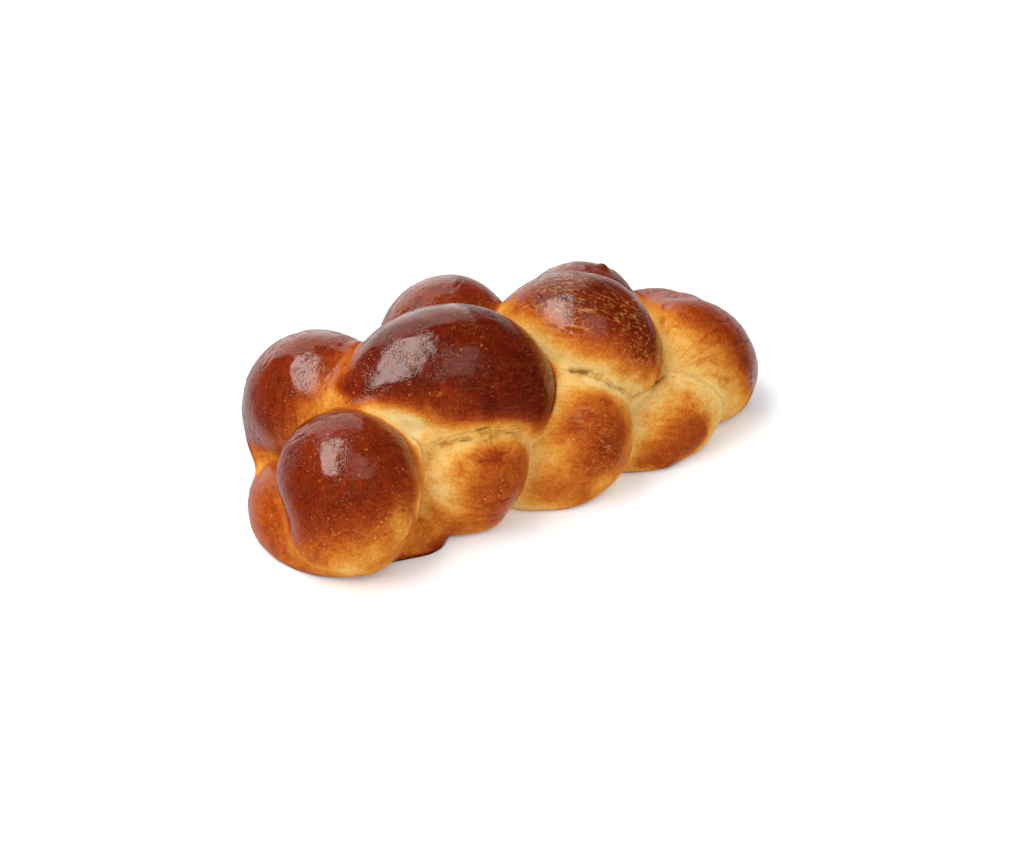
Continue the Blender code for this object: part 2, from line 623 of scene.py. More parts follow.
@dataclass
class Reading:
    """What the plait says about a set of points.

    Attributes:
        gap: the distance from the skin, less than 0 inside, in metres.
        out: the outward unit vectors.
        outs: the outward unit vectors from each strand, one column each.
        shares: how much each strand owns each point.
        crease: how far each point is from the nearest crease, in metres.
        softness: how softly the strands run together there, in metres.
    """

    gap: np.ndarray
    out: np.ndarray
    outs: np.ndarray
    shares: np.ndarray
    crease: np.ndarray
    softness: np.ndarray

    def blend(self, values: Sequence[float]) -> np.ndarray:
        """One value for each strand, shared out over the points."""
        return self.shares @ np.array(values)


class Plait:
    """All the strands, and the form that they make together."""

    def __init__(self) -> None:
        """Lays out the crossings on top, at the sides and underneath."""
        self.strands = [
            Strand(name, crossing.places(), crossing.girths(), crossing.bake, crossing.lines)
            for name, crossing in CROSSINGS.items()
        ] + UnderRow().strands()
        order = list(CROSSINGS)
        self.heels = [
            (order.index(name), order.index(crossing.heel_of))
            for name, crossing in CROSSINGS.items()
            if crossing.heel_of
        ]

    def read(self, points: np.ndarray) -> Reading:
        """Finds where points lie among the strands.

        Args:
            points: rows of X, Y and Z in metres.

        Returns:
            The reading of every point.
        """
        count = len(points)
        gaps = np.full((count, len(self.strands)), FAR_AWAY)
        outs = np.zeros((count, len(self.strands), 3))
        outs[:, :, 2] = 1.0
        for column, strand in enumerate(self.strands):
            away = np.linalg.norm(points - strand.places[1], axis=1)
            close = np.flatnonzero(away < strand.reach() + MARGIN)
            if len(close):
                gaps[close, column], outs[close, column] = strand.nearest(points[close])
        for heel, flank in self.heels:
            self.join_heel(gaps, outs, heel, flank)
        softness = CRISP + sum(joint.at(points) for joint in SOFT_JOINTS)
        gap, shares, out = self.melted(gaps, outs, softness[:, None])
        ranked = np.sort(gaps, axis=1)
        return Reading(
            gap=gap,
            out=out,
            outs=outs,
            shares=shares,
            crease=ranked[:, 1] - ranked[:, 0],
            softness=softness,
        )

    @staticmethod
    def melted(gaps: np.ndarray, outs: np.ndarray, softness: Any) -> tuple[np.ndarray, ...]:
        """Runs strands together into one form.

        Args:
            gaps: the distance from each strand, one column each.
            outs: the outward unit vectors from each strand.
            softness: how softly they run together, in metres.

        Returns:
            The distance from the whole, each strand's share in it, and its outward vectors.
        """
        least = gaps.min(axis=1, keepdims=True)
        weights = np.exp(-(gaps - least) / softness)
        total = weights.sum(axis=1, keepdims=True)
        shares = weights / total
        out = unit(np.einsum("ij,ijk->ik", shares, outs))
        return (least - softness * np.log(total))[:, 0], shares, out

    def join_heel(self, gaps: np.ndarray, outs: np.ndarray, heel: int, flank: int) -> None:
        """Makes a heel and its flank one lump, which then stands in the flank's column.

        Args:
            gaps: the distance from each strand, one column each.
            outs: the outward unit vectors from each strand.
            heel: the heel's column.
            flank: the flank's column.
        """
        pair = [flank, heel]
        gap, _, out = self.melted(gaps[:, pair], outs[:, pair], HEEL_SOFTNESS)
        gaps[:, flank], outs[:, flank] = gap, out
        gaps[:, heel] = FAR_AWAY

    def draw_on(self, points: np.ndarray) -> np.ndarray:
        """Moves points onto the strands' exact form."""
        for _ in range(DRAW_STEPS):
            reading = self.read(points)
            points = points - reading.out * np.clip(reading.gap, -DRAW_STEP, DRAW_STEP)[:, None]
        return points

    def grain(self, points: np.ndarray, shares: np.ndarray) -> np.ndarray:
        """Each point's place in the stretched grain of the strand that owns it most.

        Args:
            points: rows of X, Y and Z in metres.
            shares: how much each strand owns each point.

        Returns:
            Rows of three lengths in metres, the first along the stretch lines.
        """
        owner = shares.argmax(axis=1)
        drawn = np.zeros_like(points)
        for column, strand in enumerate(self.strands):
            mine = owner == column
            drawn[mine] = strand.drawn(points[mine]) + column * GRAIN_GAP
        return drawn


# ---------------------------------------------------------------- relief


class Fold(Stretch):
    """A groove pressed into the skin, as deep as its amount in millimetres."""

    def groove(self, points: np.ndarray) -> np.ndarray:
        """How deep in the groove points lie, from 0 to 1."""
        return self.tapered(points, 0.35, (0.15, 0.2))


class Tear(Stretch):
    """A band where the rising dough pulled apart and shows its fibres."""

    def mask(self, points: np.ndarray) -> np.ndarray:
        """How torn the skin is, from 0 to 1."""
        return self.tapered(points, 0.3, (0.1, 0.1))


class Blush(Stretch):
    """A stretch of skin that browned more than what lies round it, or less below 0."""

    def at(self, points: np.ndarray) -> np.ndarray:
        """The change in browning at points."""
        return self.amount * self.spread(points)[0]


@dataclass(frozen=True)
class Navel:
    """The dimple where the near knob's strand was pinched, with the swirl round it."""

    centre: Triple = (-108.0, -72.0, 34.0)
    reach: float = 3.0
    depth: float = 1.5
    swirl_reach: float = 13.0
    swirl_pitch: float = 3.2
    swirl_depth: float = 0.14

    def swirl(self, points: np.ndarray) -> np.ndarray:
        """The swirl's rings at points, from -1 in a groove to 1 on a crest.

        Args:
            points: rows of X, Y and Z in metres.

        Returns:
            A value for each point, fading out away from the dimple.
        """
        arm = (points - metres(self.centre)) / MM
        gap = np.linalg.norm(arm, axis=1)
        angle = np.arctan2(arm[:, 2], arm[:, 0])
        ring = np.sin(2 * np.pi * gap / self.swirl_pitch + angle)
        return ring * np.exp(-((gap / self.swirl_reach) ** 2))

    def lift(self, points: np.ndarray) -> np.ndarray:
        """How far the dimple and its swirl lift the skin, in metres.

        Args:
            points: rows of X, Y and Z in metres.

        Returns:
            The lift of each point.
        """
        gap = np.linalg.norm(points - metres(self.centre), axis=1) / MM
        dimple = np.exp(-((gap / self.reach) ** 2))
        return (self.swirl_depth * self.swirl(points) - self.depth * dimple) * MM


@dataclass(frozen=True)
class Nub:
    """A scorched nub that stands on the skin, in millimetres."""

    centre: Triple = (82.1, 28.1, 71.5)
    reach: float = 3.4
    height: float = 2.2
    scorch: float = 0.95

    def mask(self, points: np.ndarray) -> np.ndarray:
        """1 on the nub, falling to 0 around it."""
        gap = np.linalg.norm(points - metres(self.centre), axis=1) / MM
        return np.exp(-((gap / self.reach) ** 2))


FOLDS = (
    # the seam under the second ridge, and the pinch that runs on over the far knob
    Fold((38, -54.5, 42.5), (60, -49.5, 40.7), 0.8, 1.8),
    Fold((56, -49.7, 40.7), (68, -45.5, 45.2), 0.8, 1.7),
    Fold((66, -48, 45), (96, -55, 38), 0.6, 0.6),
    # the gap and the pits that opened under the second ridge
    Fold((11, -40, 62), (21, -47, 60), 1.2, 2.4),
    Fold((25, -49.5, 57), (31, -52, 53), 0.8, 1.3),
    Fold((32.5, -53, 51), (38, -54, 46), 0.7, 1.1),
    # the seam and the pits under the great ridge
    Fold((-77, -48, 51), (-58, -57, 53.5), 0.7, 1.3),
    Fold((-54, -56, 57), (-46, -58, 57), 0.6, 0.9),
    Fold((-44, -58.5, 56), (-40, -60, 54.5), 0.6, 0.8),
    Fold((-39, -60, 55), (-33, -60, 53.5), 0.6, 0.9),
    # the cracks between the near knob and the first flank
    Fold((-76, -48, 50), (-79, -51.5, 39), 0.7, 1.6),
    Fold((-87, -53.5, 17), (-76, -58, 7), 0.7, 1.2),
    # the folds round the navel, down to the near foot
    Fold((-106, -71, 38), (-97, -68, 35), 0.7, 0.9),
    Fold((-103, -70.5, 33), (-101, -69.5, 24), 0.8, 0.8),
    Fold((-101, -69.5, 24), (-111, -73, 18), 0.8, 0.7),
    Fold((-94, -65, 28), (-92, -62, 14), 0.7, 1.0),
    Fold((-110, -72.5, 35), (-108.5, -72, 33), 0.7, 0.8),
    # the seams and the pits on the far side
    Fold((-45, 48, 55), (-38, 56, 50), 0.7, 0.9),
    Fold((17, 54, 54), (8, 62, 46), 0.8, 1.0),
    Fold((44, 51, 44), (50, 53, 32), 0.7, 0.9),
)

TEARS = (
    Tear((-74, -50, 52), (-54, -57, 55), 2.6, 0.9),
    Tear((-56, -57, 55.5), (-30, -60, 52), 3.4, 1.1),
    Tear((10, -39, 61.5), (26, -50, 57), 3.0, 1.0),
    Tear((24, -49, 57), (41, -54, 44), 3.0, 1.0),
    Tear((-51, 40, 55), (-33, 58, 45), 2.8, 0.9),
    Tear((20, 50, 55), (4, 64, 42), 2.8, 0.9),
)

BLUSHES = (
    # the bare spot between the shoulder and the tucked tail
    Blush((-134, 22, 22), (-130, 27, 17), 4, -0.32),
    # the great ridge's edge over the open valley, and its dark tip
    Blush((-96, -28, 68), (-82, -42, 62), 6, -0.42),
    Blush((-100, -10, 74), (-97, -18, 73), 5, 0.16),
    # the golden hollow between the shoulder and the near knob
    Blush((-110, -5, 67), (-104, 0, 72), 6, -0.18),
    # the brown that reaches down the middle of the great ridge
    Blush((-66, -51, 66), (-48, -55, 64), 6, 0.14),
    # the scorched brow of the first flank
    Blush((-66, -59, 46), (-50, -65, 45), 4, 0.15),
    # the golden foot, the pale top of the middle flank and the pale foot of the last one
    Blush((-6, -69, 12), (8, -71, 12), 7, -0.15),
    Blush((20, -51, 57), (32, -55, 50), 5, -0.12),
    Blush((41, -60, 13), (48, -60, 20), 6, -0.18),
    # the paler skin round the navel and down to the base
    Blush((-109, -72, 35), (-107, -71, 28), 6, -0.22),
    Blush((-94, -66, 34), (-92, -62, 14), 3, -0.20),
    Blush((-139, -61, 9), (-112, -70, 6), 5, -0.20),
    # the pale base of the near knob, and the pale end of the first flank beside it
    Blush((-133, -66, 14), (-122, -72, 20), 7, -0.18),
    Blush((-76, -57, 30), (-73, -60, 16), 6, -0.14),
    # painted shade on the strip under the second ridge
    Blush((42, -53, 42), (66, -47, 44), 3.5, 0.13),
    # the pale shoulder of the near knob, beside the valley
    Blush((-84, -44, 52), (-91, -62, 37), 6, -0.30),
)


@dataclass
class SkinFields:
    """What each point of the skin carries to its finish.

    Attributes:
        browning: from 0, pale dough, to 1, nearly black crust.
        torn: from 0, whole skin, to 1, torn fibres.
        pits: painted shadow in the cracks and along the hard creases, from 0, none, to 1, the bottom
            of a crack.
        wrinkles: from 0, none, to 1, the bottom of a wrinkle.
        flecks: how thickly gold flecks cover the crust.
        blisters: how thickly small blisters cover it.
        polish: how much of the egg wash it took, from 0 in a deep crease to 1 in the open.
        grain: the place in the strand's stretched grain, in metres.
    """

    browning: np.ndarray
    torn: np.ndarray
    pits: np.ndarray
    wrinkles: np.ndarray
    flecks: np.ndarray
    blisters: np.ndarray
    polish: np.ndarray
    grain: np.ndarray

    def keep_on(self, mesh: bpy.types.Mesh) -> None:
        """Stores every field on a mesh, under its own name."""
        for part in fields(self):
            store(mesh, part.name, getattr(self, part.name))


@dataclass
class Relief:
    """The unevenness of the skin, from lumps as wide as a thumb to its stretch marks."""

    broad: Grain = field(default_factory=lambda: Grain(11))
    fine: Grain = field(default_factory=lambda: Grain(12))
    fibre: Grain = field(default_factory=lambda: Grain(13))
    blush: Grain = field(default_factory=lambda: Grain(14))
    broad_size: float = 26 * MM
    broad_height: float = 0.9 * MM
    lump_size: float = 8 * MM
    lump_height: float = 0.20 * MM
    pimple_size: float = 2.6 * MM
    pimple_height: float = 0.07 * MM
    fibre_height: float = 0.22 * MM
    fibre_size: Triple = (16, 1.9, 1.9)
    shred_size: Triple = (3.2, 3.2, 1.3)
    wrinkle_size: Triple = (60, 4.6, 4.6)
    wrinkle_depth: float = 0.5 * MM
    wrinkle_darkening: float = 0.12
    # painted shade and light that pick out the navel's swirl
    swirl_shade_and_light: float = 0.04
    torn_browning: float = 0.14
    torn_paling: float = 0.8
    edge_size: float = 15 * MM
    edge_sway: float = 0.16
    shelter_reach: float = 7.0 * MM
    patch_size: float = 13 * MM
    foot_height: float = 2.2 * MM
    foot_browning_and_shadow: float = 0.40
    navel: Navel = Navel()
    nub: Nub = Nub()

    def browning(self, plait: Plait, points: np.ndarray, reading: Reading) -> np.ndarray:
        """How far each point has browned.

        Args:
            plait: the strands, each with the way it was baked.
            points: rows of X, Y and Z in metres.
            reading: the strands' reading of the points.

        Returns:
            Values from 0 to 1.
        """
        ragged = self.blush.rough(points / self.edge_size, 4)
        total = np.zeros(len(points))
        for column, strand in enumerate(plait.strands):
            bake = strand.bake
            facing = reading.outs[:, column] @ unit(np.array(bake.toward)) + self.edge_sway * ragged
            cap = smooth_step(bake.edge - bake.soft, bake.edge + bake.soft, facing)
            total += reading.shares[:, column] * (bake.rest + (bake.depth - bake.rest) * cap)
        shelter = reading.blend([strand.bake.shelter for strand in plait.strands])
        total *= 1 - shelter * smooth_step(
            self.shelter_reach, 0.5 * MM, reading.crease + MM * ragged
        )
        total += sum(blush.at(points) for blush in BLUSHES)
        # darker at the base rim: partly real browning against the tray, partly painted contact
        # shadow
        total += self.foot_browning_and_shadow * smooth_step(self.foot_height, 0.0, points[:, 2])
        total = np.maximum(total, self.nub.scorch * self.nub.mask(points) ** 0.5)
        return np.clip(total, 0.0, 1.0)

    def read(self, plait: Plait, points: np.ndarray, reading: Reading) -> SkinFields:
        """Works out what the skin carries to its finish.

        Args:
            plait: the strands, each with the way it was baked.
            points: rows of X, Y and Z in metres.
            reading: the strands' reading of the points.

        Returns:
            One value of each kind for every point.
        """
        waver = points + 1.2 * MM * self.fine.at(points / (6 * MM))[:, None]
        torn = np.max([tear.mask(waver) for tear in TEARS], axis=0)
        bent = self.bent(points)
        grain = plait.grain(points, reading.shares)
        wrinkles = self.wrinkled(plait, points, reading, grain)
        browning = self.browning(plait, points, reading) * (1 - self.torn_paling * torn)
        browning = browning + self.torn_browning * torn
        # darker along the bottoms of the wrinkles
        browning = browning + self.wrinkle_darkening * wrinkles
        # painted shade in the swirl's grooves and painted light on its crests
        browning = browning - self.swirl_shade_and_light * self.navel.swirl(bent)
        crusty = smooth_step(0.42, 0.62, browning)
        patches = smooth_step(-0.35, 0.45, self.blush.rough(points / self.patch_size + 4.0, 2))
        blistered = reading.blend([strand.bake.blisters for strand in plait.strands]) * patches
        # painted shadow along the hard creases, and with the cracks below, down in the grooves
        seam_shadow = smooth_step(1.1 * MM, 0.2 * MM, reading.crease)
        seam_shadow *= smooth_step(1.8 * MM, 0.8 * MM, reading.softness)
        cracks = np.max([fold.groove(bent) for fold in FOLDS], axis=0)
        return SkinFields(
            browning=np.clip(browning, 0.0, 1.0),
            torn=torn,
            pits=np.maximum(cracks, 0.4 * seam_shadow),
            wrinkles=wrinkles,
            flecks=reading.blend([strand.bake.flecks for strand in plait.strands]),
            blisters=blistered * crusty * smooth_step(1.0 * MM, 3.0 * MM, reading.crease),
            polish=smooth_step(0.3 * MM, 5.0 * MM, reading.crease),
            grain=grain,
        )

    def wrinkled(
        self, plait: Plait, points: np.ndarray, reading: Reading, grain: np.ndarray
    ) -> np.ndarray:
        """How deep in a wrinkle each point lies.

        Args:
            plait: the strands, each with its share of wrinkles.
            points: rows of X, Y and Z in metres.
            reading: the strands' reading of the points.
            grain: their place in the stretched grain.

        Returns:
            Values from 0 to 1.
        """
        drawn = grain / np.array(self.wrinkle_size) / MM
        sway = 0.45 * self.fine.at(points / (9 * MM) + 2.0)
        lumps = self.fibre.at(drawn + sway[:, None] + 11.0)
        lines = np.exp(-((lumps / 0.10) ** 2))
        broken = smooth_step(-0.3, 0.3, self.broad.at(points / (9 * MM) + 6.0))
        share = reading.blend([strand.bake.wrinkles for strand in plait.strands])
        return lines * broken * share * smooth_step(0.5 * MM, 4 * MM, reading.crease)

    def bent(self, points: np.ndarray) -> np.ndarray:
        """Points shifted a little, so that what is laid out in straight lines wavers."""
        shifts = [self.fine.at(points / (5 * MM) + 9.0 * axis) for axis in range(3)]
        return points + 0.8 * MM * np.stack(shifts, axis=1)

    def lift(self, points: np.ndarray, reading: Reading, skin: SkinFields) -> np.ndarray:
        """How far the relief lifts each point out of the smooth form.

        Args:
            points: rows of X, Y and Z in metres.
            reading: the strands' reading of the points.
            skin: what the skin carries there.

        Returns:
            The lift of each point, in metres.
        """
        open_skin = smooth_step(0.0, 5 * MM, reading.crease)
        broad = self.broad_height * self.broad.rough(points / self.broad_size, 2)
        lumps = self.lump_height * self.fine.rough(points / self.lump_size, 2)
        pimples = self.pimple_height * self.fine.at(points / self.pimple_size + 5.0)
        crusty = smooth_step(0.35, 0.7, skin.browning)
        drawn = skin.grain / np.array(self.fibre_size) / MM
        stretch = self.fibre_height * self.fibre.rough(drawn, 2)
        pale = smooth_step(0.60, 0.35, skin.browning)
        shreds = points / np.array(self.shred_size) / MM
        ragged = 1 - 2.6 * np.abs(self.fibre.rough(shreds + 3.0, 2))
        depth = max(tear.amount for tear in TEARS) * MM
        bent = self.bent(points)
        folds = -MM * np.max([fold.amount * fold.groove(bent) for fold in FOLDS], axis=0)
        return (
            broad
            + open_skin * (lumps + crusty * pimples)
            + open_skin * (0.2 + 0.8 * pale) * stretch
            + depth * skin.torn * (ragged - 0.6)
            - self.wrinkle_depth * skin.wrinkles
            + folds
            + self.navel.lift(bent)
            + self.nub.height * MM * self.nub.mask(points)
        )


# ---------------------------------------------------------------- node trees


# Where a Mix node keeps its two colours among its inputs, and their blend among its outputs.
MIXED_COLOURS = (6, 7)
MIXED_RESULT = 2
# The value that a noise swings about.
MIDDLE = 0.5


class Wiring:
    """Adds nodes to a tree and links them, with a value or a link for each input."""

    def __init__(self, tree: bpy.types.NodeTree) -> None:
        """Keeps the tree that the nodes go into."""
        self.tree = tree

    def add(self, kind: str, settings: dict[str, Any] | None = None, **inputs: Any) -> Any:
        """Adds a node.

        Args:
            kind: the node's type name.
            settings: its own properties.
            **inputs: its inputs by name, with _ for a space: a socket to link or a value.

        Returns:
            The new node.
        """
        node = self.tree.nodes.new(kind)
        for name, value in (settings or {}).items():
            setattr(node, name, value)
        self.fill(node, **inputs)
        return node

    def fill(self, node: Any, **inputs: Any) -> None:
        """Feeds a node's inputs by name, with _ for a space."""
        for name, value in inputs.items():
            self.feed(node.inputs[name.replace("_", " ")], value)

    def feed(self, socket: Any, value: Any) -> None:
        """Links a socket to another one, or sets its value."""
        if isinstance(value, bpy.types.NodeSocket):
            self.tree.links.new(value, socket)
        else:
            socket.default_value = value

    def result(self, node: Any, *values: Any) -> Any:
        """Feeds a node's first inputs in their order.

        Args:
            node: the node.
            *values: a value or a socket for each input.

        Returns:
            The node's first output.
        """
        for socket, value in zip(node.inputs, values):
            self.feed(socket, value)
        return node.outputs[0]

    def math(self, operation: str, first: Any, second: Any = 0.0, clamp: bool = False) -> Any:
        """The output of a Math node on two values or sockets."""
        node = self.add("ShaderNodeMath", {"operation": operation, "use_clamp": clamp})
        return self.result(node, first, second)

    def rest(self, value: Any) -> Any:
        """What a value leaves of 1."""
        return self.math("SUBTRACT", 1.0, value)

    def swing(self, pattern: Any, share: float) -> Any:
        """How far a pattern swings from its middle, times a share."""
        return self.product(self.math("SUBTRACT", pattern, MIDDLE), share)

    def product(self, first: Any, *others: Any) -> Any:
        """All the values multiplied together."""
        for other in others:
            first = self.math("MULTIPLY", first, other)
        return first

    def vector_math(self, operation: str, first: Any, second: Any) -> Any:
        """The vector output of a Vector Math node on two values or sockets."""
        node = self.add("ShaderNodeVectorMath", {"operation": operation})
        return self.result(node, first, second)

    def dot(self, first: Any, second: Any) -> Any:
        """The dot product of two vectors.

        Args:
            first: a vector or a socket.
            second: another one.

        Returns:
            The socket of the result.
        """
        node = self.add("ShaderNodeVectorMath", {"operation": "DOT_PRODUCT"})
        self.result(node, first, second)
        return node.outputs["Value"]

    def scaled(self, vector: Any, factor: Any) -> Any:
        """A vector socket times a factor."""
        node = self.add("ShaderNodeVectorMath", {"operation": "SCALE"}, Scale=factor)
        return self.result(node, vector)

    def range(self, value: Any, low: float, high: float, to: tuple[float, float] = (0, 1)) -> Any:
        """A value brought from one range to another, held at its ends and eased between.

        Args:
            value: the value or socket.
            low: where its range begins.
            high: where its range ends, which may lie below.
            to: what those two become.

        Returns:
            The socket of the result.
        """
        node = self.add("ShaderNodeMapRange", {"interpolation_type": "SMOOTHSTEP"}, Value=value)
        for name, number in zip(("From Min", "From Max", "To Min", "To Max"), (low, high, *to)):
            node.inputs[name].default_value = number
        return node.outputs["Result"]

    def mix(self, factor: Any, first: Any, second: Any) -> Any:
        """Blends two colours.

        Args:
            factor: the share of the second colour.
            first: the first colour.
            second: the second colour.

        Returns:
            The socket of the colour.
        """
        node = self.add("ShaderNodeMix", {"data_type": "RGBA"}, Factor=factor)
        for place, colour in zip(MIXED_COLOURS, (first, second)):
            self.feed(node.inputs[place], colour)
        return node.outputs[MIXED_RESULT]

    def noise(self, vector: Any, size: float, detail: float = 2.0, **more: Any) -> Any:
        """The value of a noise whose lumps are about this size in metres."""
        node = self.add("ShaderNodeTexNoise", Vector=vector, Scale=1 / size, Detail=detail, **more)
        return node.outputs["Fac"]

    def attribute(self, name: str, output: str = "Fac") -> Any:
        """The socket that gives one of the piece's own values to a material."""
        return self.add("ShaderNodeAttribute", {"attribute_name": name}).outputs[output]

    def ramp(self, value: Any, stops: Sequence[tuple[float, Shade]]) -> Any:
        """The colour that a ramp of shades gives a value.

        Args:
            value: the value or socket.
            stops: the shades, each with the value where it stands.

        Returns:
            The socket of the colour.
        """
        node = self.add("ShaderNodeValToRGB", Fac=value)
        held = node.color_ramp.elements
        while len(held) < len(stops):
            held.new(0.5)
        for stop, (place, colour) in zip(held, stops):
            stop.position = place
            stop.color = linear(colour)
        return node.outputs["Color"]


@dataclass
class MaterialTree:
    """A material whose Principled shader takes what it is given.

    Attributes:
        name: the material's name.
    """

    name: str
    made: bpy.types.Material = field(init=False)
    wires: Wiring = field(init=False)

    def __post_init__(self) -> None:
        """Makes the material and its wiring."""
        self.made = bpy.data.materials.new(self.name)
        self.made.use_nodes = True
        self.wires = Wiring(self.made.node_tree)

    def shade(self, **inputs: Any) -> bpy.types.Material:
        """Feeds the shader's inputs by name, with _ for a space, and gives the material."""
        self.wires.fill(self.made.node_tree.nodes["Principled BSDF"], **inputs)
        return self.made

    def space(self) -> Any:
        """The socket that gives a point's place on the object."""
        return self.wires.add("ShaderNodeTexCoord").outputs["Object"]


class GeometryTree:
    """A Geometry Nodes tree with named inputs, and the modifier that runs it."""

    def __init__(self, name: str) -> None:
        """Makes an empty tree that takes and gives geometry.

        Args:
            name: the tree's name.
        """
        self.tree = bpy.data.node_groups.new(name, "GeometryNodeTree")
        self.face = self.tree.interface
        self.face.new_socket("Geometry", in_out="INPUT", socket_type="NodeSocketGeometry")
        self.face.new_socket("Geometry", in_out="OUTPUT", socket_type="NodeSocketGeometry")
        self.wires = Wiring(self.tree)
        self.start = self.wires.add("NodeGroupInput")
        self.end = self.wires.add("NodeGroupOutput")
        self.values: dict[str, Any] = {}

    def take(self, name: str, kind: str, value: Any) -> Any:
        """Adds a named input.

        Args:
            name: the input's name.
            kind: its socket type, such as Float.
            value: what the modifier sets it to.

        Returns:
            The socket that gives it inside the tree.
        """
        socket = self.face.new_socket(name, in_out="INPUT", socket_type=f"NodeSocket{kind}")
        self.values[socket.identifier] = value
        return self.start.outputs[name]

    def carried(self, name: str, kind: str = "FLOAT") -> Any:
        """The socket that gives a value that the geometry's points carry.

        Args:
            name: the value's name.
            kind: its data type.

        Returns:
            The socket that gives it inside the tree.
        """
        settings = {"data_type": kind}
        node = self.wires.add("GeometryNodeInputNamedAttribute", settings, Name=name)
        return node.outputs["Attribute"]

    def close(self, geometry: Any, finish: bpy.types.Material) -> None:
        """Ends the tree: instances become mesh, and the mesh takes its finish.

        Args:
            geometry: the socket of what the tree has made.
            finish: the finish that the mesh takes.
        """
        made = self.wires.add("GeometryNodeRealizeInstances", Geometry=geometry)
        shown = self.take("Finish", "Material", finish)
        dressed = self.wires.add(
            "GeometryNodeSetMaterial", Geometry=made.outputs[0], Material=shown
        )
        self.wires.feed(self.end.inputs[0], dressed.outputs[0])

    def put_on(self, piece: bpy.types.Object) -> None:
        """Runs the tree on an object, through a modifier.

        Args:
            piece: the object that the tree works on.
        """
        modifier = piece.modifiers.new(self.tree.name, "NODES")
        modifier.node_group = self.tree
        for identifier, value in self.values.items():
            modifier[identifier] = value


def new_object(name: str, mesh: bpy.types.Mesh) -> bpy.types.Object:
    """Puts a mesh into the scene as an object.

    Args:
        name: its name.
        mesh: the mesh.

    Returns:
        The object.
    """
    made = bpy.data.objects.new(name, mesh)
    bpy.context.scene.collection.objects.link(made)
    return made


def bake(piece: bpy.types.Object, finish: bpy.types.Material) -> None:
    """Turns what an object's modifiers make into its own plain mesh, in one finish.

    Args:
        piece: the object, which loses its modifiers.
        finish: the finish that the mesh takes.
    """
    evaluated = piece.evaluated_get(bpy.context.evaluated_depsgraph_get())
    mesh = bpy.data.meshes.new_from_object(evaluated)
    piece.modifiers.clear()
    old = piece.data
    piece.data = mesh
    bpy.data.meshes.remove(old)
    mesh.name = piece.name
    mesh.materials.clear()
    mesh.materials.append(finish)


def points_of(mesh: bpy.types.Mesh) -> np.ndarray:
    """A mesh's points as rows.

    Args:
        mesh: the mesh.

    Returns:
        Rows of X, Y and Z in metres.
    """
    flat = np.empty(len(mesh.vertices) * 3)
    mesh.vertices.foreach_get("co", flat)
    return flat.reshape(-1, 3)


def store(mesh: bpy.types.Mesh, name: str, values: np.ndarray) -> None:
    """Keeps a value or a vector for each point of a mesh.

    Args:
        mesh: the mesh.
        name: the values' name.
        values: one value or one row of three for each point.
    """
    kind, key = ("FLOAT", "value") if values.ndim == 1 else ("FLOAT_VECTOR", "vector")
    layer = mesh.attributes.new(name, kind, "POINT")
    layer.data.foreach_set(key, np.ascontiguousarray(values, dtype=np.float32).ravel())


# ---------------------------------------------------------------- finishes


WHITE = (1.0, 1.0, 1.0, 1.0)

# The crust's colours from pale dough to nearly black, each with the browning where it stands.
TONES = (
    (0.00, (226, 199, 138)),
    (0.12, (226, 183, 106)),
    (0.28, (213, 145, 60)),
    (0.42, (194, 110, 38)),
    (0.56, (168, 74, 22)),
    (0.72, (136, 46, 12)),
    (0.86, (106, 30, 9)),
    (1.00, (76, 15, 5)),
)


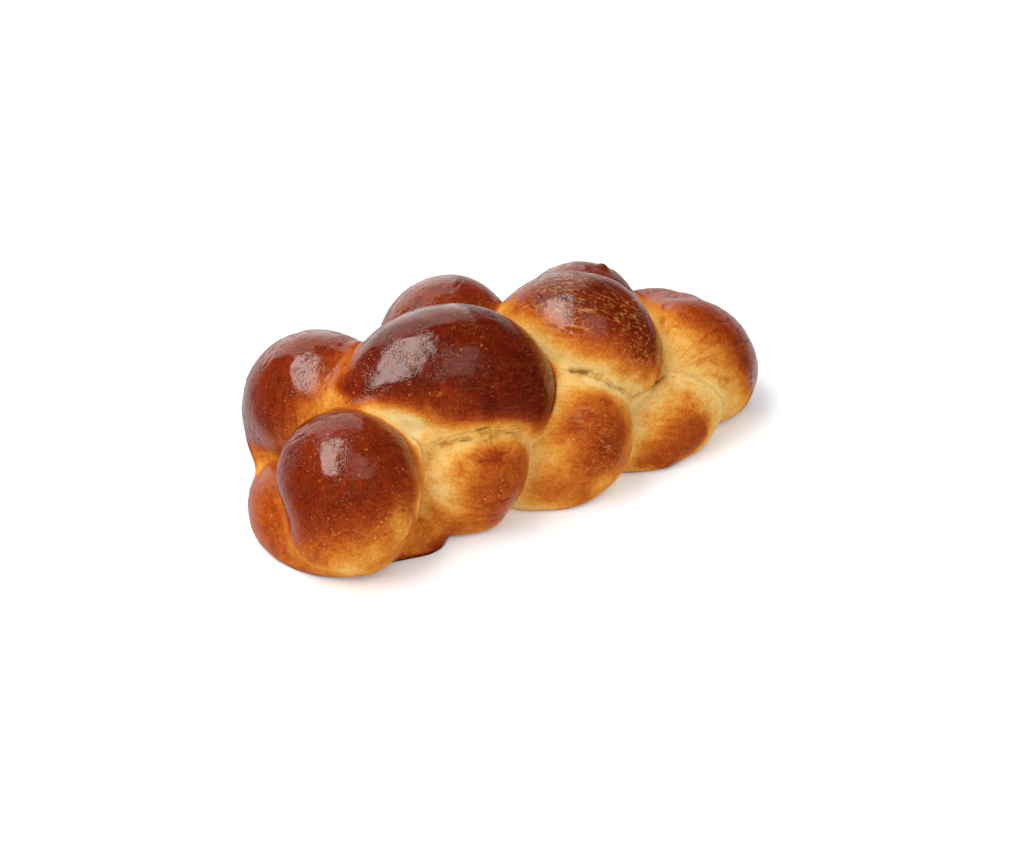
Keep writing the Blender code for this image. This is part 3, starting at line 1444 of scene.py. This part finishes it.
@dataclass(frozen=True)
class CrustFinish:
    """Egg-washed crust, from pale dough in the creases to mahogany on the crowns."""

    speck: Shade = (226, 158, 74)
    # painted shade for the thin wrinkles of the dried egg wash
    crinkle_shadow_colour: Shade = (30, 8, 3)
    fibre_shade: Shade = (176, 118, 44)
    # the colour of the painted shadow in cracks and hard creases
    crease_shadow_colour: Shade = (114, 78, 26)
    blotch_size: float = 6 * MM
    dot_size: float = 1.1 * MM
    streak_size: float = 1.5 * MM
    drawn_out: float = 0.16
    crinkle_size: float = 2.0 * MM
    crinkle_spread: float = 11 * MM
    crinkle_depth: float = 0.12 * MM
    line_depth: float = 0.4 * MM
    warp_size: float = 3 * MM
    warp_reach: float = 2.4 * MM
    squiggle_size: float = 3.2 * MM
    fleck_gap: float = 3.6 * MM
    fleck_spread: float = 14 * MM
    blotches: float = 0.38
    dots: float = 0.30
    lines: float = 0.18
    squiggles: float = 0.45
    scratches: float = 0.50
    dull: float = 0.55
    glossy: float = 0.32
    coat_roughness: float = 0.13
    coat_ior: float = 1.6
    specular: float = 0.0

    def material(self) -> bpy.types.Material:
        """Builds the finish.

        Returns:
            The crust material.
        """
        crust = MaterialTree("crust")
        wires, space = crust.wires, crust.space()
        browning = wires.attribute("browning")
        torn = wires.attribute("torn")
        grain = wires.attribute("grain", "Vector")

        streaks = self.streaks(wires, grain)
        mottled = self.mottled(wires, browning, space, streaks)
        crinkle = self.crinkle(wires, space)
        colour = wires.ramp(mottled, TONES)
        # painted shade darkens the wrinkles of the egg wash
        colour = self.painted_crinkle_shade(wires, colour, mottled, crinkle)
        colour = self.flecks(wires, colour, mottled, space, streaks)
        colour = self.fibres(wires, colour, torn, streaks)
        # painted shadow darkens the cracks and the hard creases
        pits = wires.range(wires.attribute("pits"), 0.3, 1.0)
        colour = wires.mix(wires.product(pits, 0.75), colour, linear(self.crease_shadow_colour))
        gloss = wires.product(wires.range(mottled, 0.38, 0.68), wires.attribute("polish"))
        bump = self.bumps(wires, crinkle, streaks, gloss, torn)
        return crust.shade(
            Base_Color=colour,
            Roughness=wires.range(gloss, 0.0, 1.0, (self.dull, self.glossy)),
            Specular_IOR_Level=self.specular,
            Coat_Weight=gloss,
            Coat_Roughness=self.coat_roughness,
            Coat_IOR=self.coat_ior,
            Normal=bump,
            Coat_Normal=bump,
        )

    def streaks(self, wires: Wiring, grain: Any) -> Any:
        """Fine lines drawn out along each strand, about 0.5 on average."""
        drawn = wires.vector_math("MULTIPLY", grain, (self.drawn_out, 1.0, 1.0))
        return wires.noise(drawn, self.streak_size, 3.0)

    def mottled(self, wires: Wiring, browning: Any, space: Any, streaks: Any) -> Any:
        """The browning with its blotches and its ragged, drawn-out edges.

        Args:
            wires: the wiring of the finish.
            browning: how far the skin has browned.
            space: a point's place on the loaf.
            streaks: the fine lines along the strand.

        Returns:
            The socket of the browning, from 0 to 1.
        """
        blotch = wires.noise(space, self.blotch_size, 5.0, Roughness=0.76)
        changes = ((blotch, self.blotches), (streaks, self.lines))
        for pattern, share in changes:
            browning = wires.math("ADD", browning, wires.swing(pattern, share))
        dots = wires.swing(wires.noise(space, self.dot_size), self.dots)
        return wires.math("ADD", browning, dots, clamp=True)

    def crinkle(self, wires: Wiring, space: Any) -> Any:
        """The wrinkled skin of dried egg wash: 1 on the skin, dipping in its thin wrinkles.

        Args:
            wires: the wiring of the finish.
            space: a point's place on the loaf.

        Returns:
            The socket of the pattern, from 0 to 1.
        """
        warp = wires.add("ShaderNodeTexNoise", Vector=space, Scale=1 / self.warp_size, Detail=2.0)
        bent = wires.vector_math("ADD", space, wires.scaled(warp.outputs["Color"], self.warp_reach))
        cells = wires.add(
            "ShaderNodeTexVoronoi",
            {"feature": "DISTANCE_TO_EDGE"},
            Vector=bent,
            Scale=1 / self.crinkle_size,
        )
        wrinkle = wires.range(cells.outputs["Distance"], 0.13, 0.0)
        where = wires.range(wires.noise(space, self.crinkle_spread), 0.42, 0.62)
        return wires.rest(wires.product(wrinkle, where))

    def painted_crinkle_shade(self, wires: Wiring, colour: Any, mottled: Any, crinkle: Any) -> Any:
        """The colour with painted shade in the thin wrinkles of the egg wash, where the crust is
        brown.

        Args:
            wires: the wiring of the finish.
            colour: the colour so far.
            mottled: the browning with its blotches.
            crinkle: the wrinkled skin of dried egg wash.

        Returns:
            The socket of the colour.
        """
        depth = wires.product(wires.range(mottled, 0.4, 0.8), 0.45)
        dip = wires.product(wires.rest(crinkle), depth)
        return wires.mix(dip, colour, linear(self.crinkle_shadow_colour))

    def flecks(
        self, wires: Wiring, colour: Any, mottled: Any, space: Any, streaks: Any
    ) -> Any:
        """The colour with gold squiggles and scratches, where the crust cracked as it browned.

        Args:
            wires: the wiring of the finish.
            colour: the colour so far.
            mottled: the browning with its blotches.
            space: a point's place on the loaf.
            streaks: the fine lines along the strand.

        Returns:
            The socket of the colour.
        """
        line = wires.noise(space, self.squiggle_size, 2.0, Distortion=0.6)
        thin = wires.range(wires.math("ABSOLUTE", wires.swing(line, 1.0)), 0.035, 0.008)
        patch = wires.noise(space, self.fleck_gap, 1.0)
        broad = wires.noise(space, self.fleck_spread)
        wanted = wires.product(wires.attribute("flecks"), wires.range(broad, 0.34, 0.56))
        reach = wires.math("SUBTRACT", 0.70, wires.product(wanted, 0.18))
        pick = wires.range(wires.math("SUBTRACT", patch, reach), 0.0, 0.05)
        crusty = wires.range(mottled, 0.42, 0.62)
        squiggles = wires.product(thin, pick, self.squiggles)
        scratches = wires.product(wires.range(streaks, 0.53, 0.70), wanted, self.scratches)
        share = wires.product(wires.math("MAXIMUM", squiggles, scratches), crusty)
        return wires.mix(share, colour, linear(self.speck))

    def fibres(self, wires: Wiring, colour: Any, torn: Any, streaks: Any) -> Any:
        """The colour with shadowed fibres where the dough is torn."""
        dip = wires.range(streaks, 0.58, 0.40)
        return wires.mix(wires.product(dip, torn, 0.8), colour, linear(self.fibre_shade))

    def bumps(self, wires: Wiring, crinkle: Any, streaks: Any, gloss: Any, torn: Any) -> Any:
        """The fine relief that is too small for the mesh.

        Args:
            wires: the wiring of the finish.
            crinkle: the wrinkled skin of dried egg wash.
            streaks: the fine lines along the strand.
            gloss: how glossy the crust is.
            torn: how torn the skin is.

        Returns:
            The socket of the normal.
        """
        skin = wires.add(
            "ShaderNodeBump",
            Height=wires.product(crinkle, gloss),
            Strength=0.45,
            Distance=self.crinkle_depth,
        ).outputs["Normal"]
        pale = wires.rest(wires.product(gloss, 0.85))
        lines = wires.product(streaks, wires.math("ADD", pale, torn))
        return wires.add(
            "ShaderNodeBump", Height=lines, Strength=0.7, Distance=self.line_depth, Normal=skin
        ).outputs["Normal"]


@dataclass(frozen=True)
class BlisterFinish:
    """The thin shiny skin of small blisters, a little paler than the crust they stand on."""

    lighter: float = 0.12
    patch_size: float = 4 * MM
    patches: float = 0.8
    roughness: float = 0.4
    coat_roughness: float = 0.14
    specular: float = 0.3

    def material(self) -> bpy.types.Material:
        """Builds the finish.

        Returns:
            The material of the blisters.
        """
        skin = MaterialTree("crust_blisters")
        wires = skin.wires
        patch = wires.swing(wires.noise(skin.space(), self.patch_size), self.patches)
        shift = wires.math("SUBTRACT", patch, self.lighter)
        depth = wires.math("ADD", wires.attribute("browning"), shift, clamp=True)
        return skin.shade(
            Base_Color=wires.ramp(depth, TONES),
            Roughness=self.roughness,
            Specular_IOR_Level=self.specular,
            Coat_Weight=1.0,
            Coat_Roughness=self.coat_roughness,
        )


@dataclass(frozen=True)
class FloorFinish:
    """Matt white board, faintly lit from below as a product table is."""

    colour: Shade = (238, 242, 248)
    roughness: float = 0.9
    specular: float = 0.1
    glow: float = 0.20

    def material(self) -> bpy.types.Material:
        """Builds the finish."""
        return MaterialTree("studio_floor").shade(
            Base_Color=linear(self.colour),
            Roughness=self.roughness,
            Specular_IOR_Level=self.specular,
            Emission_Color=WHITE,
            Emission_Strength=self.glow,
        )


# ---------------------------------------------------------------- the loaf


@dataclass
class LoafSkin:
    """The loaf's one skin, from the balls of dough to the finished mesh.

    Attributes:
        finish: the crust.
        balls: how many balls lie along each crossing.
        ball_detail: how finely each ball is faceted.
        voxel: the grain of the fused skin, in metres.
        smoothing: how often the fused skin is smoothed before it is drawn on.
        foot_round: how high the rounding between the sides and the base reaches.
        most_faces: how many triangles the finished skin may have.
    """

    finish: CrustFinish = CrustFinish()
    balls: int = 13
    ball_detail: int = 4
    voxel: float = 1.0 * MM
    smoothing: int = 3
    foot_round: float = 4.0 * MM
    most_faces: int = 190000
    plait: Plait = field(default_factory=Plait)
    relief: Relief = field(default_factory=Relief)

    def build(self) -> bpy.types.Object:
        """Makes the skin and puts it on the frame.

        Returns:
            The finished piece.
        """
        piece = self.fused(self.finish.material())
        mesh = piece.data
        points = self.plait.draw_on(points_of(mesh))
        reading = self.plait.read(points)
        skin = self.relief.read(self.plait, points, reading)
        lift = self.relief.lift(points, reading, skin)
        points = self.fitted(self.settled(points + reading.out * lift[:, None]))
        mesh.vertices.foreach_set("co", points.ravel())
        skin.keep_on(mesh)
        self.thin_out(piece)
        piece.data.shade_smooth()
        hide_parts(NODE)
        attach(piece, BODY)
        return piece

    def crossing_points(self) -> bpy.types.Mesh:
        """One point for each strand's crown, which carries the rest of the strand's form.

        Returns:
            A mesh of loose points.
        """
        strands = self.plait.strands
        mesh = bpy.data.meshes.new("crossings")
        mesh.from_pydata([strand.places[1] for strand in strands], [], [])
        store(mesh, "inner_end", np.array([strand.places[0] for strand in strands]))
        store(mesh, "outer_end", np.array([strand.places[2] for strand in strands]))
        store(mesh, "girths", np.array([strand.girths for strand in strands]))
        return mesh

    def fused(self, finish: bpy.types.Material) -> bpy.types.Object:
        """Lays the balls along every crossing and fuses them into one skin.

        Args:
            finish: the finish that the mesh takes.

        Returns:
            The loaf as one closed skin, still without its relief.
        """
        piece = new_object("loaf_skin", self.crossing_points())
        self.ball_rows(finish).put_on(piece)
        skin = piece.modifiers.new("Skin", "REMESH")
        skin.mode = "VOXEL"
        skin.voxel_size = self.voxel
        smooth = piece.modifiers.new("Smooth", "SMOOTH")
        smooth.factor = 0.5
        smooth.iterations = self.smoothing
        bake(piece, finish)
        return piece

    def ball_rows(self, finish: bpy.types.Material) -> GeometryTree:
        """The tree that lays a row of balls along the parabola through each crossing.

        Args:
            finish: the finish of the balls.

        Returns:
            The tree, ready to put on the crossings' points.
        """
        tree = GeometryTree("ball_rows")
        wires = tree.wires
        count = tree.take("Balls", "Int", self.balls)
        detail = tree.take("Ball Detail", "Int", self.ball_detail)
        rows = wires.add(
            "GeometryNodeDuplicateElements",
            {"domain": "POINT"},
            Geometry=tree.start.outputs["Geometry"],
            Amount=count,
        )
        last = wires.math("SUBTRACT", count, 1.0)
        t = wires.math("DIVIDE", rows.outputs["Duplicate Index"], last)
        before, after = wires.math("SUBTRACT", t, 0.5), wires.math("SUBTRACT", t, 1.0)
        inner_share = wires.product(before, after, 2.0)
        crown_share = wires.product(t, after, -4.0)
        outer_share = wires.product(t, before, 2.0)

        inner = tree.carried("inner_end", "FLOAT_VECTOR")
        outer = tree.carried("outer_end", "FLOAT_VECTOR")
        crown = wires.add("GeometryNodeInputPosition").outputs[0]
        centre = wires.vector_math(
            "ADD", wires.scaled(inner, inner_share), wires.scaled(crown, crown_share)
        )
        centre = wires.vector_math("ADD", centre, wires.scaled(outer, outer_share))
        shares = wires.add("ShaderNodeCombineXYZ", X=inner_share, Y=crown_share, Z=outer_share)
        girths = tree.carried("girths", "FLOAT_VECTOR")
        girth = wires.dot(girths, shares.outputs[0])

        # The girth is stored before the points move, because it is worked out from the row.
        sized = wires.add(
            "GeometryNodeStoreNamedAttribute",
            {"data_type": "FLOAT", "domain": "POINT"},
            Geometry=rows.outputs["Geometry"],
            Name="girth",
            Value=girth,
        )
        placed = wires.add("GeometryNodeSetPosition", Geometry=sized.outputs[0], Position=centre)
        ball = wires.add("GeometryNodeMeshIcoSphere", Radius=1.0, Subdivisions=detail)
        rowed = wires.add(
            "GeometryNodeInstanceOnPoints",
            Points=placed.outputs[0],
            Instance=ball.outputs["Mesh"],
            Scale=tree.carried("girth"),
        )
        tree.close(rowed.outputs[0], finish)
        return tree

    def settled(self, points: np.ndarray) -> np.ndarray:
        """Flattens what hangs below the base onto it, with a rounded foot all round.

        Args:
            points: rows of X, Y and Z in metres.

        Returns:
            The points, none below the base.
        """
        foot, z = self.foot_round, points[:, 2]
        rounding = (z + foot) ** 2 / (4 * foot)
        settled = points.copy()
        settled[:, 2] = np.where(z > foot, z, np.where(z < -foot, 0.0, rounding))
        return settled

    def fitted(self, points: np.ndarray) -> np.ndarray:
        """Brings the skin to the box that the frame gives the loaf.

        Args:
            points: rows of X, Y and Z in metres.

        Returns:
            The points, filling the box.
        """
        low, high = (np.array(corner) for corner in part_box(NODE))
        least, most = points.min(axis=0), points.max(axis=0)
        return low + (points - least) * (high - low) / (most - least)

    def thin_out(self, piece: bpy.types.Object) -> None:
        """Spares triangles where the skin is flat or smooth, and keeps them in its marks.

        Args:
            piece: the loaf with its relief.
        """
        faces = sum(len(face.vertices) - 2 for face in piece.data.polygons)
        thinner = piece.modifiers.new("Thin Out", "DECIMATE")
        thinner.ratio = min(1.0, self.most_faces / faces)
        bake(piece, piece.data.materials[0])


@dataclass
class Blisters:
    """The small blisters scattered over the brown crust.

    Attributes:
        finish: their skin.
        spacing: the least distance between two of them, in metres.
        density: how many stand on a square metre where they are thickest.
        smallest: the least radius.
        largest: the greatest radius.
        rise: their height, as a share of the radius.
        stretch: their length, as a share of their width.
        rarity: how much rarer large ones are than small ones.
        seed: picks their places.
    """

    finish: BlisterFinish = BlisterFinish()
    spacing: float = 1.0 * MM
    density: float = 520000.0
    smallest: float = 0.18 * MM
    largest: float = 0.62 * MM
    rise: float = 0.34
    stretch: float = 1.35
    rarity: float = 2.6
    seed: int = 5

    def build(self, skin: bpy.types.Object) -> bpy.types.Object:
        """Scatters the blisters over the skin and puts them on the frame.

        Args:
            skin: the loaf's finished skin.

        Returns:
            The finished piece, which holds every blister.
        """
        piece = new_object("crust_blisters", skin.data.copy())
        finish = self.finish.material()
        self.scatter(finish).put_on(piece)
        bake(piece, finish)
        piece.data.shade_smooth()
        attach(piece, BODY)
        return piece

    def scatter(self, finish: bpy.types.Material) -> GeometryTree:
        """The tree that scatters low domes over a skin, thickest where it says so.

        Args:
            finish: the finish that the mesh takes.

        Returns:
            The tree, ready to put on a copy of the loaf's skin.
        """
        tree = GeometryTree("blister_scatter")
        wires = tree.wires
        seed = tree.take("Seed", "Int", self.seed)
        placed = wires.add(
            "GeometryNodeDistributePointsOnFaces",
            {"distribute_method": "POISSON"},
            Mesh=tree.start.outputs["Geometry"],
            Distance_Min=tree.take("Spacing", "Float", self.spacing),
            Density_Max=tree.take("Density", "Float", self.density),
            Density_Factor=tree.carried("blisters"),
            Seed=seed,
        )
        chance = wires.add("FunctionNodeRandomValue", {"data_type": "FLOAT"}, Seed=seed)
        small = tree.take("Smallest", "Float", self.smallest)
        range_of = wires.math("SUBTRACT", tree.take("Largest", "Float", self.largest), small)
        share = wires.math("POWER", chance.outputs["Value"], self.rarity)
        size = wires.math("ADD", small, wires.product(range_of, share))
        height = wires.product(size, tree.take("Rise", "Float", self.rise))
        wide = wires.product(size, self.stretch)
        form = wires.add("ShaderNodeCombineXYZ", X=wide, Y=size, Z=height)
        turn = wires.add("FunctionNodeRandomValue", {"data_type": "FLOAT"}, Max=FULL_TURN, Seed=seed)
        spin = wires.add("ShaderNodeCombineXYZ", Z=turn.outputs["Value"])
        turned = wires.add(
            "FunctionNodeRotateEuler",
            {"space": "LOCAL"},
            Rotation=placed.outputs["Rotation"],
            Rotate_By=spin.outputs[0],
        )
        dome = wires.add("GeometryNodeMeshUVSphere", Segments=7, Rings=4, Radius=1.0)
        spread = wires.add(
            "GeometryNodeInstanceOnPoints",
            Points=placed.outputs["Points"],
            Instance=dome.outputs["Mesh"],
            Rotation=turned.outputs[0],
            Scale=form.outputs[0],
        )
        tree.close(spread.outputs[0], finish)
        return tree


# ---------------------------------------------------------------- the studio


@dataclass
class Floor:
    """A wide pale floor under the loaf."""

    half: float = 8.0
    finish: FloorFinish = FloorFinish()

    def build(self) -> bpy.types.Object:
        """Makes the floor, which glossy crust does not mirror.

        Returns:
            The floor.
        """
        reach = self.half
        corners = [(-reach, -reach, 0), (reach, -reach, 0), (reach, reach, 0), (-reach, reach, 0)]
        mesh = bpy.data.meshes.new("floor")
        mesh.from_pydata(corners, [], [(0, 1, 2, 3)])
        mesh.materials.append(self.finish.material())
        floor = new_object("floor", mesh)
        floor.visible_glossy = False
        return floor


@dataclass(frozen=True)
class SoftWindow:
    """A soft, evenly bright panel that lights the loaf.

    Attributes:
        name: its name.
        way: the way from the loaf to the panel.
        lean: a way that the panel's long side follows.
        length: the length of its long side, in metres, as all that follow.
        width: the length of its short side.
        brightness: how bright it looks, where 1 is white.
        distance: how far it is.
        mirrored: whether it shows in glossy crust.
        tint: its colour, a little warmer than white.
    """

    name: str
    way: Triple
    lean: Triple
    length: float
    width: float
    brightness: float
    distance: float = 2.0
    mirrored: bool = True
    tint: Triple = (1.0, 0.96, 0.88)

    def build(self) -> None:
        """Hangs the panel, facing the loaf."""
        light = bpy.data.lights.new(self.name, "AREA")
        light.shape = "RECTANGLE"
        light.size = self.length
        light.size_y = self.width
        light.energy = self.brightness * pi * self.length * self.width
        light.color = self.tint
        lamp = bpy.data.objects.new(self.name, light)
        lamp.visible_glossy = self.mirrored
        back = Vector(self.way).normalized()
        side = Vector(self.lean)
        side = (side - back * side.dot(back)).normalized()
        lamp.matrix_world = Matrix.LocRotScale(
            back * self.distance, Matrix((side, back.cross(side), back)).transposed(), None
        )
        bpy.context.scene.collection.objects.link(lamp)


@dataclass
class Studio:
    """Soft white light from all round, a bright window over the near end, and a pale wall.

    Attributes:
        dome: the brightness of the light from all round.
        backdrop: how bright the far background looks.
        wall: the brightness of the wall that shows in the crust, behind the loaf and below.
        wall_way: the way from the loaf to the middle of that wall.
        windows: the panels.
    """

    dome: float = 0.50
    backdrop: float = 0.95
    wall: float = 0.64
    wall_way: Triple = (0.30, 0.75, -0.59)
    windows: tuple[SoftWindow, ...] = (
        SoftWindow("key_window", (-0.452, 0.084, 0.888), (0.60, 0.75, 0.26), 2.15, 1.0, 5.1),
        SoftWindow("next_window", (0.0, -0.54, 0.84), (0.38, 0.65, 0.35), 1.4, 1.1, 0.75),
        SoftWindow("back_window", (0.20, 0.87, 0.45), (1.0, 0.0, 0.0), 1.9, 2.4, 0.9),
        SoftWindow(
            "fill_card", (-0.48, -0.71, 0.42), (0.83, -0.56, 0.0), 3.0, 2.0, 0.35, mirrored=False
        ),
    )

    def build(self) -> None:
        """Lights the loaf."""
        world = bpy.data.worlds.new("studio")
        world.use_nodes = True
        wires = Wiring(world.node_tree)
        way = wires.add("ShaderNodeTexCoord").outputs["Generated"]
        facing = wires.dot(way, self.wall_way)
        wall = wires.range(facing, 0.3, 0.85, (0.0, self.wall))
        rays = wires.add("ShaderNodeLightPath").outputs
        mirrored = wires.product(rays["Is Glossy Ray"], wires.math("SUBTRACT", wall, self.dome))
        seen = wires.product(rays["Is Camera Ray"], self.backdrop - self.dome)
        strength = wires.math("ADD", self.dome, wires.math("ADD", mirrored, seen))
        wires.fill(world.node_tree.nodes["Background"], Color=WHITE, Strength=strength)
        bpy.context.scene.world = world
        for window in self.windows:
            window.build()
        bpy.context.scene.view_settings.view_transform = "Standard"


@dataclass
class Viewpoint:
    """The camera, which looks down on the loaf from its near end and side.

    Attributes:
        azimuth: the camera's way round the loaf, in degrees from the -Y side towards +X.
        elevation: its way up, in degrees.
        distance: how far it is from what it looks at, in metres.
        target: what it looks at.
        lens: its focal length in millimetres.
    """

    azimuth: float = -34.0
    elevation: float = 31.0
    distance: float = 0.99
    target: Triple = (-0.0214, -0.0400, 0.0405)
    lens: float = 70.0

    def build(self) -> None:
        """Places the camera and makes it the scene's own."""
        turn, tilt = radians(self.azimuth), radians(self.elevation)
        back = Vector((sin(turn) * cos(tilt), -cos(turn) * cos(tilt), sin(tilt)))
        camera = bpy.data.cameras.new("camera")
        camera.lens = self.lens
        holder = bpy.data.objects.new("camera", camera)
        holder.location = Vector(self.target) + back * self.distance
        holder.rotation_euler = back.to_track_quat("Z", "Y").to_euler()
        bpy.context.scene.collection.objects.link(holder)
        bpy.context.scene.camera = holder


def report(piece: bpy.types.Object) -> None:
    """Logs what a finished piece holds."""
    log.info("%s: %d faces", piece.name, len(piece.data.polygons))


def main() -> None:
    """Builds the loaf and the studio round it."""
    logging.basicConfig(level=logging.INFO, format="%(name)s %(message)s")
    skin = LoafSkin().build()
    report(skin)
    report(Blisters().build(skin))
    report(Floor().build())
    Studio().build()
    Viewpoint().build()


if __name__ == "__main__":
    main()
